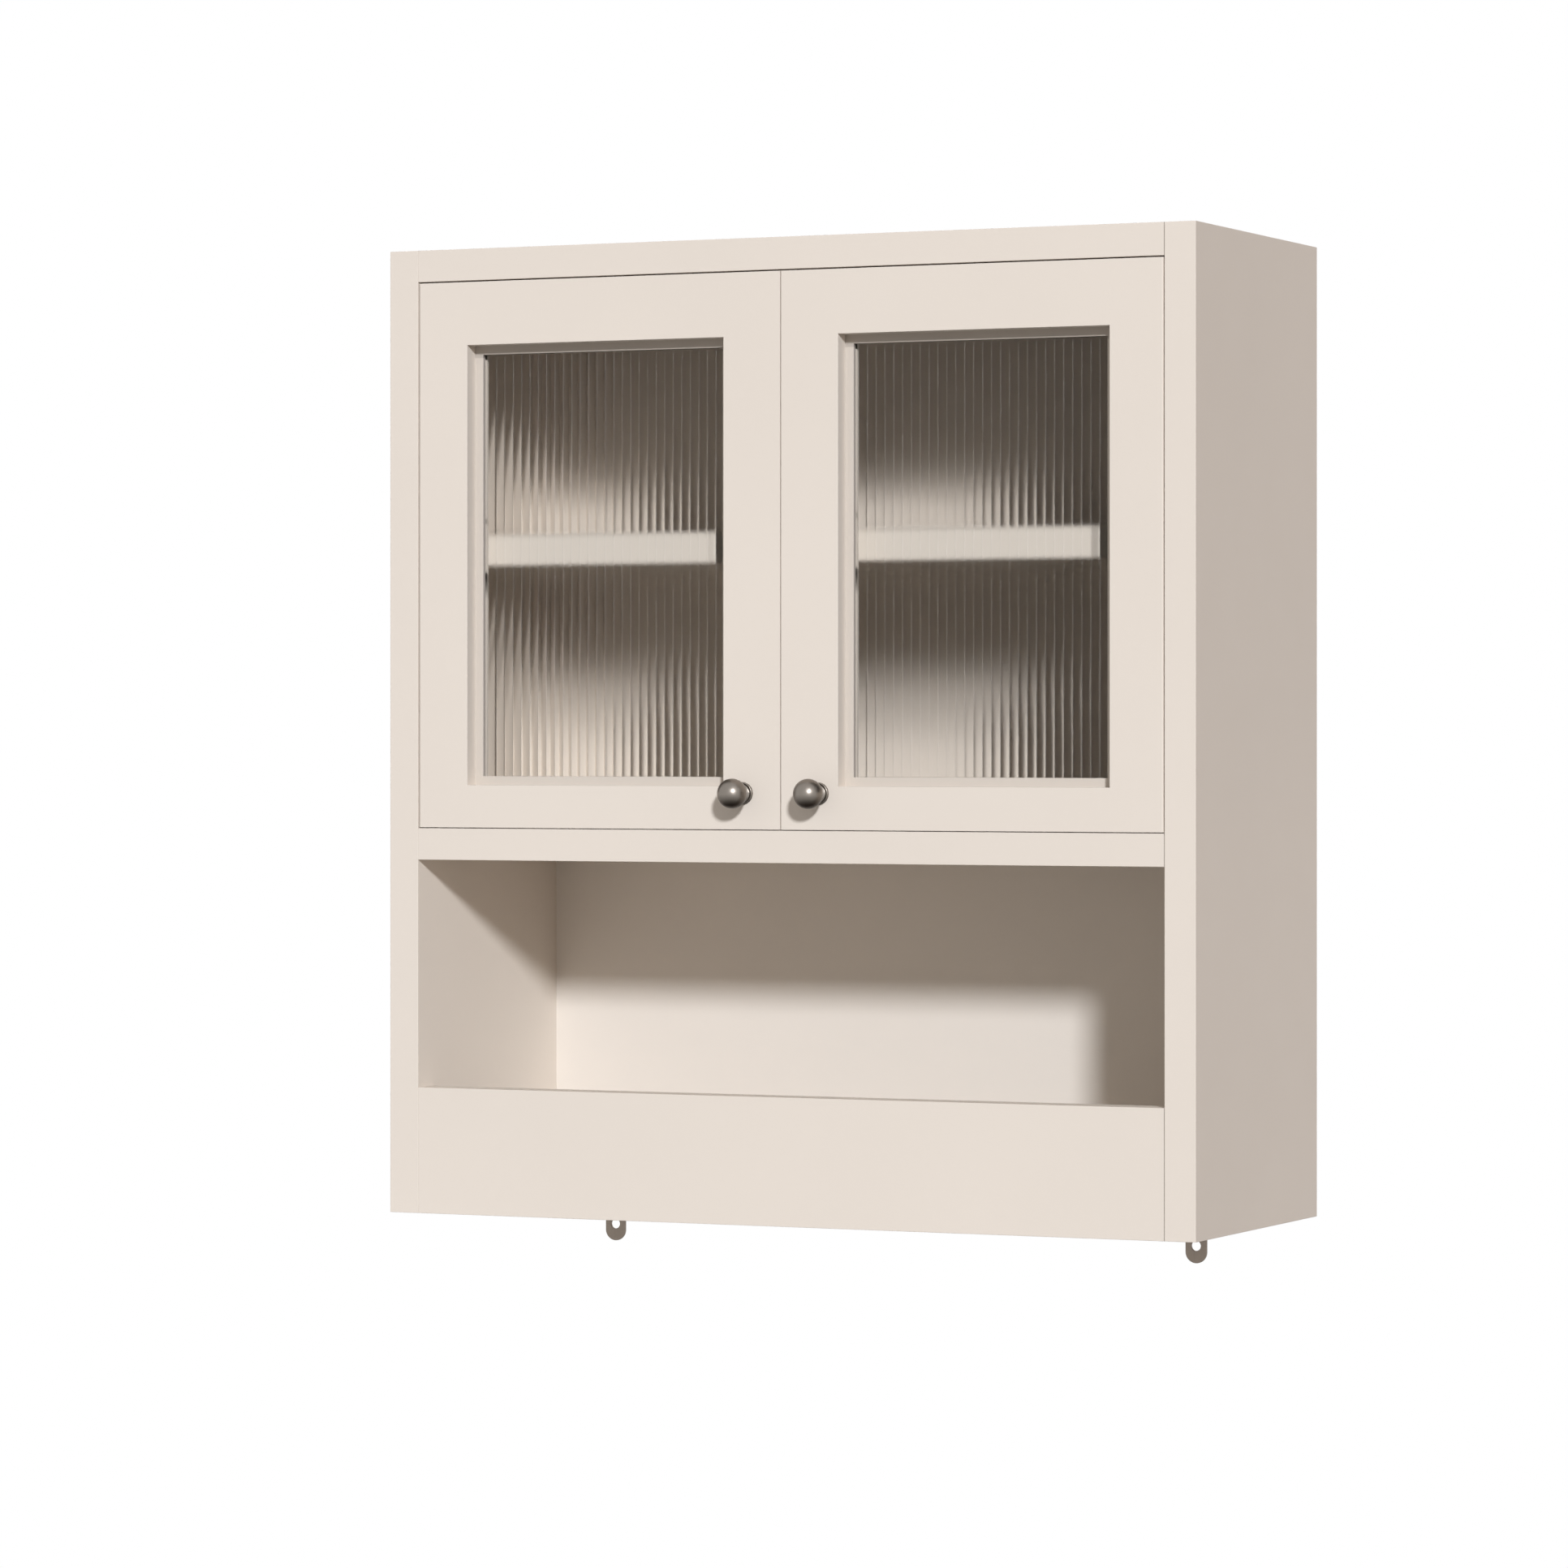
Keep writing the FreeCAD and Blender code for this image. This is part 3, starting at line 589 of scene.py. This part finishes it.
catch_plastic = grained(
    "catch_plastic", CATCH_WHITE, CATCH_WHITE, EVEN_GRAIN, roughness=0.45, metal=0.0, edge_radius=CATCH_EDGE
)
ferrite = grained("ferrite", FERRITE, FERRITE_DULL, EVEN_GRAIN, roughness=0.6, metal=0.0)
dress(catch_plastic, "magnetic_catch")
dress(ferrite, "catch_magnets")
dress(plated_steel, "left_strike_plate", "right_strike_plate")
screws("catch_screws", lambda corner: Vector((0, 0, -1)), "carcass")

# Concealed hinges
# A pressed-steel cup is let into the back of each door, and its pin turns in the eye of a cranked arm.
# The arm is clamped to a plate on the side panel, and everything is zinc-plated.

for side in ("left", "right"):
    for level in ("lower", "upper"):
        hinge = side + "_" + level + "_hinge_"
        dress(plated_steel, hinge + "plate", hinge + "arm", hinge + "cup")
    dress(plated_steel, side + "_hinge_pins")
    screws(side + "_cup_screws", lambda corner: Vector((0, 1, 0)), side + "_door")
screws("hinge_plate_screws", lambda corner: Vector((-math.copysign(1, corner.x), 0, 0)), "carcass")

# Door frames and glazing beads
# Each frame is routed from one sheet of fibreboard, with a stepped opening, and lacquered like the carcass.
# Behind the routed step the lip and the back carry a darker painted shade, and a band under the top rail a
# still darker painted shadow.
# Four lacquered beads are pinned behind the pane to hold it against the lip.

RECESS_SHADE_CREAM = (0.560, 0.512, 0.460, 1.0)
STEP_DEPTH = 0.0115
STEP_BLUR = 0.0008
UNDER_RAIL_SHADOW_CREAM = (0.330, 0.298, 0.265, 1.0)
UNDER_RAIL_SHADOW_BAND = 0.008


def shaded_door_lacquer(node, pane):
    """Lacquer of a door frame, with painted shade behind the step and painted shadow above a line near the
    top of the pane.
    """
    material, tree, shader = new_material(node + "_lacquer")
    face = coat_with_paint(tree, shader, CREAM, CREAM_EDGE_HIGHLIGHT)
    step = min(corner.co.y for corner in frame["nodes"][node].data.vertices) + STEP_DEPTH
    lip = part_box(pane)[1].z - UNDER_RAIL_SHADOW_BAND
    split = split_up(add(tree, "ShaderNodeTexCoord").outputs["Object"])
    # Painted shade behind the routed step, and a darker painted shadow under the top rail.
    recess_shade_share = ranged(split.outputs["Y"], (step, step + STEP_BLUR))
    under_rail_shadow_share = ranged(split.outputs["Z"], (lip, lip + STEP_BLUR))
    painted_shade = mix_colours(under_rail_shadow_share, RECESS_SHADE_CREAM, UNDER_RAIL_SHADOW_CREAM)
    put(shader, Base_Color=mix_colours(recess_shade_share, face, painted_shade))
    return material


for side in ("left", "right"):
    dress(shaded_door_lacquer(side + "_door_frame", side + "_glass"), side + "_door_frame")
    dress(lacquer, side + "_glazing_beads")

# Fluted glass
# Cast clear glass with a fine grain, flat in front, with upright convex reeds rolled into its inner face.
# The reeds blur what stands behind them, fan sunlight out over the back panel and glint along their valleys.
# The edge of the shelf stands close behind the pane and still gets full light.

REED_PITCH = 0.0065
REED_RISE = 0.0005
REED_STEPS = 12
REED_CREASE = math.radians(30)
GLASS_TINT = (1.0, 0.983, 0.965, 1.0)
GLASS_INDEX = 1.5
GLASS_ROUGHNESS = 0.16
GLASS_MIRROR_SHARE = 0.14
GRAIN_SLOPE = 0.14
GRAIN_FINENESS = 90000.0
VALLEY_GLINT = 0.065
VALLEY_WIDTH = 0.0003
GLINT_WHITE = (1.0, 1.0, 1.0, 1.0)
MID_THICKNESS = 0.5
NO_LIGHT = (0.0, 0.0, 0.0, 1.0)
GLASS_PASS = (1.0, 0.995, 0.985, 1.0)
GLASS_BOUNCE = (0.285, 0.285, 0.278, 1.0)
FAN_SPAN = (0.98, 0.74)
SHELF_BAND = (0.49, 0.60)
BAND_BLUR = 0.01
UNDER_SHELF = 0.43


def mix_shaders(share, first, second):
    """Surface between two others."""
    made = add(first.id_data, "ShaderNodeMixShader")
    for socket, value in zip(made.inputs, (share, first, second)):
        feed(socket, value)
    return made.outputs["Shader"]


def grain_normal(tree, place):
    """Normals tilted up and down at random by the grain of cast glass."""
    fine = put(reckon_vectors("SCALE", place), Scale=GRAIN_FINENESS)
    grain = add(tree, "ShaderNodeTexWhiteNoise", noise_dimensions="3D")
    put(grain, Vector=fine.outputs["Vector"])
    slope = ranged(grain.outputs["Value"], (0.0, 1.0), (-GRAIN_SLOPE, GRAIN_SLOPE))
    tilt = put(add(tree, "ShaderNodeCombineXYZ"), Z=slope)
    smooth = add(tree, "ShaderNodeNewGeometry")
    tilted = reckon_vectors("ADD", smooth.outputs["Normal"], tilt.outputs["Vector"])
    return reckon_vectors("NORMALIZE", tilted.outputs["Vector"]).outputs["Vector"]


def valley_share(split, width):
    """Share of mirror along the valleys between reeds, on the inner half of the pane's thickness."""
    measured = ranged(split.outputs["X"], (0.0, 1.0), (-width / 2, width / 2), clamp=False)
    from_valley = reckon("PINGPONG", measured, REED_PITCH / 2)
    glint = ranged(from_valley, (VALLEY_WIDTH, 2 * VALLEY_WIDTH), (VALLEY_GLINT, 0.0))
    return reckon("MULTIPLY", glint, reckon("GREATER_THAN", split.outputs["Y"], MID_THICKNESS))


def light_share(tree, split):
    """Share of sunlight let through: fading across the pane, full along the edge of the shelf."""
    foot, head = SHELF_BAND
    height = split.outputs["Z"]
    above = ranged(height, (foot - BAND_BLUR, foot))
    below = ranged(height, (head + BAND_BLUR, head))
    across = ranged(split.outputs["X"], FAN_SPAN, interpolation_type="SMOOTHSTEP")
    upright = put(add(tree, "ShaderNodeValToRGB"), Fac=height)
    stops = [(UNDER_SHELF, 1.0), (foot, 0.0), (head, 0.0), (head + BAND_BLUR, 1.0)]
    for stop, (place, level) in enumerate(stops):
        if stop > 1:
            upright.color_ramp.elements.new(place)
        upright.color_ramp.elements[stop].position = place
        upright.color_ramp.elements[stop].color = (level, level, level, 1.0)
    far = reckon("MULTIPLY", across, upright.outputs["Color"])
    return reckon("MAXIMUM", far, reckon("MULTIPLY", above, below))


def reeded_glass(width):
    """Clear grained glass that passes sunlight by share and dims light scattered inside the cabinet."""
    material, tree, shader = new_material("reeded_glass")
    put(shader, Base_Color=GLASS_TINT, Roughness=GLASS_ROUGHNESS, IOR=GLASS_INDEX, Transmission_Weight=1.0)
    place = add(tree, "ShaderNodeTexCoord")
    split = split_up(place.outputs["Generated"])
    dulled = put(add(tree, "ShaderNodeBsdfRefraction"), Color=GLASS_TINT, Roughness=GLASS_ROUGHNESS)
    put(dulled, IOR=GLASS_INDEX, Normal=grain_normal(tree, place.outputs["Object"]))
    glint = put(add(tree, "ShaderNodeBsdfGlossy"), Color=GLINT_WHITE, Roughness=GLASS_ROUGHNESS)
    passed = add(tree, "ShaderNodeBsdfTransparent")
    put(passed, Color=mix_colours(light_share(tree, split), NO_LIGHT, GLASS_PASS))
    bounced = put(add(tree, "ShaderNodeBsdfTransparent"), Color=GLASS_BOUNCE)
    ray = add(tree, "ShaderNodeLightPath")
    body = mix_shaders(GLASS_MIRROR_SHARE, dulled.outputs["BSDF"], shader.outputs["BSDF"])
    lined = mix_shaders(valley_share(split, width), body, glint.outputs["BSDF"])
    lit = mix_shaders(ray.outputs["Is Shadow Ray"], lined, passed.outputs["BSDF"])
    whole = mix_shaders(ray.outputs["Is Diffuse Ray"], lit, bounced.outputs["BSDF"])
    put(tree.nodes["Material Output"], Surface=whole)
    return material


def reed_profile(left, right, valley):
    """Across and depth of the inner face, reed by reed, between two flat margins."""
    count = 2 * int((right - left) / REED_PITCH / 2)
    first = (left + right - count * REED_PITCH) / 2
    half = REED_PITCH / 2
    radius = (half * half + REED_RISE * REED_RISE) / (2 * REED_RISE)
    points = [(left, valley)]
    for reed in range(count):
        middle = first + (reed + 0.5) * REED_PITCH
        for step in range(REED_STEPS):
            off = half * (2 * step / REED_STEPS - 1)
            rise = REED_RISE - radius + math.sqrt(radius * radius - off * off)
            points.append((middle + off, valley + rise))
    points.append((first + count * REED_PITCH, valley))
    points.append((right, valley))
    return points


def reeded_pane(node, material, body):
    """Pane with its reeds, in place of the CAD pane."""
    low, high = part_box(node)
    work = bmesh.new()
    columns = []
    for across, depth in reed_profile(low.x, high.x, high.y - REED_RISE):
        outline = [(low.y, low.z), (low.y, high.z), (depth, high.z), (depth, low.z)]
        columns.append([work.verts.new((across, back, up)) for back, up in outline])
    for here, there in zip(columns, columns[1:]):
        for corner in range(4):
            after = (corner + 1) % 4
            face = work.faces.new((here[corner], here[after], there[after], there[corner]))
            face.smooth = corner == 2
    work.faces.new(columns[0])
    work.faces.new(reversed(columns[-1]))
    made = piece_from(body + "_reeded_pane", work, material, body, "fluted_glass", node)
    made.data.set_sharp_from_angle(angle=REED_CREASE)


pane_low, pane_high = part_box("left_glass")
glass = reeded_glass(pane_high.x - pane_low.x)
reeded_pane("left_glass", glass, "left_door")
reeded_pane("right_glass", glass, "right_door")

# Knobs
# A turned ball on a short flared neck stands on a round rose, all in dark satin pewter.
# A machine bolt from behind the door draws ball and rose together.
# The underside is painted dark, a painted shade for the dark that the ball reflects from below.

PEWTER = (0.27, 0.24, 0.21, 1.0)
PEWTER_DARK = (0.22, 0.195, 0.17, 1.0)
PEWTER_UNDERSIDE_SHADE = (0.034, 0.028, 0.023, 1.0)
PEWTER_EDGE = 0.0003
UNDERSIDE = (-0.05, -0.72)
NECK_RADIUS = 0.0038
NECK_FOOT_RADIUS = 0.0052
NECK_FOOT_HEIGHT = 0.0035
ROSE_RIM = 0.0007
ROSE_DISH = 0.0004
KNOB_SEGMENTS = 64


def pewter_with_painted_shade():
    """Satin pewter with painted shade on faces that look down."""
    material = grained("pewter", PEWTER, PEWTER_DARK, EVEN_GRAIN, roughness=0.33, edge_radius=PEWTER_EDGE)
    tree = material.node_tree
    shader = tree.nodes["Principled BSDF"]
    upper_colour = shader.inputs["Base Color"].links[0].from_socket
    # Painted shade: faces that look down turn dark.
    put(shader, Base_Color=mix_colours(facing(tree, "Z", UNDERSIDE), upper_colour, PEWTER_UNDERSIDE_SHADE))
    return material


def on_door(low, high):
    """Place of a turned piece on the door, its axis forwards and its base against what carries it."""
    base = Vector(((low.x + high.x) / 2, high.y, (low.z + high.z) / 2))
    return Matrix.Translation(base) @ FRONT_ON


def ball_knob(node, material, body):
    """Ball and neck in place of the CAD knob."""
    low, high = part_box(node)
    radius = (high.z - low.z) / 2
    centre = high.y - low.y - radius
    neck_angle = math.degrees(math.asin(NECK_RADIUS / radius))
    flare = arc((NECK_FOOT_RADIUS, NECK_FOOT_HEIGHT), NECK_FOOT_RADIUS - NECK_RADIUS, 270, 180, 8)
    ball = arc((0, centre), radius, neck_angle - 90, 90, 40)
    work = turned([(0, 0)] + flare + ball[:-1] + [(0, centre + radius)], KNOB_SEGMENTS)
    work.transform(on_door(low, high))
    piece_from(node + "_turned", work, material, body, "pewter", node)


def knob_rose(node, material, body):
    """Rose with a raised rim and a dished face, in place of the CAD rose."""
    low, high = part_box(node)
    radius = (high.z - low.z) / 2
    height = high.y - low.y
    rim = arc((radius - ROSE_RIM, height - ROSE_RIM), ROSE_RIM, 0, 90, 6)
    dish = [(radius - 2 * ROSE_RIM, height - ROSE_DISH), (NECK_FOOT_RADIUS, height - ROSE_DISH)]
    seat = [(NECK_FOOT_RADIUS, height), (0, height)]
    work = turned([(0, 0), (radius, 0)] + rim + dish + seat, KNOB_SEGMENTS)
    work.transform(on_door(low, high))
    piece_from(node + "_turned", work, material, body, "pewter", node)


pewter = pewter_with_painted_shade()
for side in ("left", "right"):
    ball_knob(side + "_knob", pewter, side + "_door")
    knob_rose(side + "_knob_rose", pewter, side + "_door")
    dress(plated_steel, side + "_knob_bolt")

# Floor
# A pale studio floor well below the cabinet, which hangs on a wall at head height.
# It shows the shadow near the cabinet and fades to white further out.

FLOOR_DROP = 1.2
FLOOR_RADIUS = 3.2
FLOOR_SEGMENTS = 96
FLOOR_PALE = (0.64, 0.63, 0.61, 1.0)
FLOOR_ROUGHNESS = 0.9
FLOOR_GLOSS = 0.1
FADE_SPAN = (0.6, 2.2)
BACKDROP_WHITE = (1.0, 1.0, 1.0, 1.0)
BACKDROP_STRENGTH = 1.0


def looked_at(tree):
    """One for rays from the camera, from metal and through glass, and nought for rays of light."""
    ray = add(tree, "ShaderNodeLightPath")
    seen = reckon("MAXIMUM", ray.outputs["Is Camera Ray"], ray.outputs["Is Glossy Ray"])
    return reckon("MAXIMUM", seen, ray.outputs["Is Transmission Ray"])


def studio_floor():
    """Pale floor that fades to white for the camera, glass and metal."""
    material, tree, shader = new_material("studio_floor")
    put(shader, Base_Color=FLOOR_PALE, Roughness=FLOOR_ROUGHNESS, Specular_IOR_Level=FLOOR_GLOSS)
    reach = reckon_vectors("LENGTH", add(tree, "ShaderNodeTexCoord").outputs["Object"])
    share = reckon("MULTIPLY", ranged(reach.outputs["Value"], FADE_SPAN), looked_at(tree))
    white = put(add(tree, "ShaderNodeEmission"), Color=BACKDROP_WHITE, Strength=BACKDROP_STRENGTH)
    faded = mix_shaders(share, shader.outputs["BSDF"], white.outputs["Emission"])
    put(tree.nodes["Material Output"], Surface=faded)
    return material


floor_work = bmesh.new()
bmesh.ops.create_circle(floor_work, cap_ends=True, segments=FLOOR_SEGMENTS, radius=FLOOR_RADIUS)
floor_mesh = bpy.data.meshes.new("floor")
floor_work.to_mesh(floor_mesh)
floor_work.free()
floor_mesh.materials.append(studio_floor())
floor = bpy.data.objects.new("floor", floor_mesh)
floor.location = (0, 0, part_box("left_side_panel")[0].z - FLOOR_DROP)
bpy.context.scene.collection.objects.link(floor)

# Light
# One soft key light from high on the right of the front, like a window, and a lamp behind for the rear.
# A dim fill comes mostly from the front and left, and lights the boards without showing in the picture.
# The backdrop is white to the camera, to glass and to metal, and adds no light to the boards.

KEY_TRAVEL = Vector((-0.652, 1.0, -0.474))
KEY_STRENGTH = 2.69
KEY_COLOUR = (0.946, 0.964, 1.0)
KEY_SPREAD = math.radians(5.5)
BACK_PLACE = Vector((-0.9, 3.4, 0.9))
BACK_SIZE = 2.0
BACK_POWER = 45.0
FILL_SIDE = Vector((-0.62, -0.785, 0.0))
FILL_BRIGHT = (0.478, 0.460, 0.440, 1.0)
FILL_DIM = (0.083, 0.031, 0.0, 1.0)
FILL_STRENGTH = 1.0

key = bpy.data.lights.new("key", "SUN")
key.energy = KEY_STRENGTH
key.color = KEY_COLOUR
key.angle = KEY_SPREAD
key_object = bpy.data.objects.new("key", key)
key_object.rotation_euler = KEY_TRAVEL.to_track_quat("-Z", "Y").to_euler()
bpy.context.scene.collection.objects.link(key_object)

behind = bpy.data.lights.new("behind", "AREA")
behind.energy = BACK_POWER
behind.size = BACK_SIZE
behind_object = bpy.data.objects.new("behind", behind)
behind_object.location = BACK_PLACE
behind_object.rotation_euler = (-BACK_PLACE).to_track_quat("-Z", "Y").to_euler()
bpy.context.scene.collection.objects.link(behind_object)

world = bpy.data.worlds.new("studio")
world.use_nodes = True
sky = world.node_tree
heading = add(sky, "ShaderNodeTexCoord").outputs["Generated"]
towards_front = reckon_vectors("DOT_PRODUCT", heading, FILL_SIDE).outputs["Value"]
fill_colour = mix_colours(ranged(towards_front, (-1.0, 1.0)), FILL_DIM, FILL_BRIGHT)
fill = put(sky.nodes["Background"], Color=fill_colour, Strength=FILL_STRENGTH)
backdrop = put(add(sky, "ShaderNodeBackground"), Color=BACKDROP_WHITE, Strength=BACKDROP_STRENGTH)
around = mix_shaders(looked_at(sky), fill.outputs["Background"], backdrop.outputs["Background"])
put(sky.nodes["World Output"], Surface=around)
bpy.context.scene.world = world
bpy.context.scene.view_settings.view_transform = "Standard"

# Camera
# Level, to the right of the cabinet and a little above its middle panel, with a long lens.
# The lens is shifted so that upright edges stay upright and the cabinet sits as in the photograph.

CAMERA_RIGHT = 1.6876
CAMERA_AHEAD = 3.646
CAMERA_RISE = 0.3314
CAMERA_TURN = math.radians(24.803)
CAMERA_LENS = 136.32
CAMERA_SENSOR = 36.0
CAMERA_SHIFT = -0.02995

camera = bpy.data.cameras.new("camera")
camera.sensor_width = CAMERA_SENSOR
camera.lens = CAMERA_LENS
camera.shift_y = CAMERA_SHIFT
camera_object = bpy.data.objects.new("camera", camera)
front_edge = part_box("left_side_panel")[0]
camera_object.location = (CAMERA_RIGHT, front_edge.y - CAMERA_AHEAD, front_edge.z + CAMERA_RISE)
camera_object.rotation_euler = (math.pi / 2, 0, CAMERA_TURN)
bpy.context.scene.collection.objects.link(camera_object)
bpy.context.scene.camera = camera_object
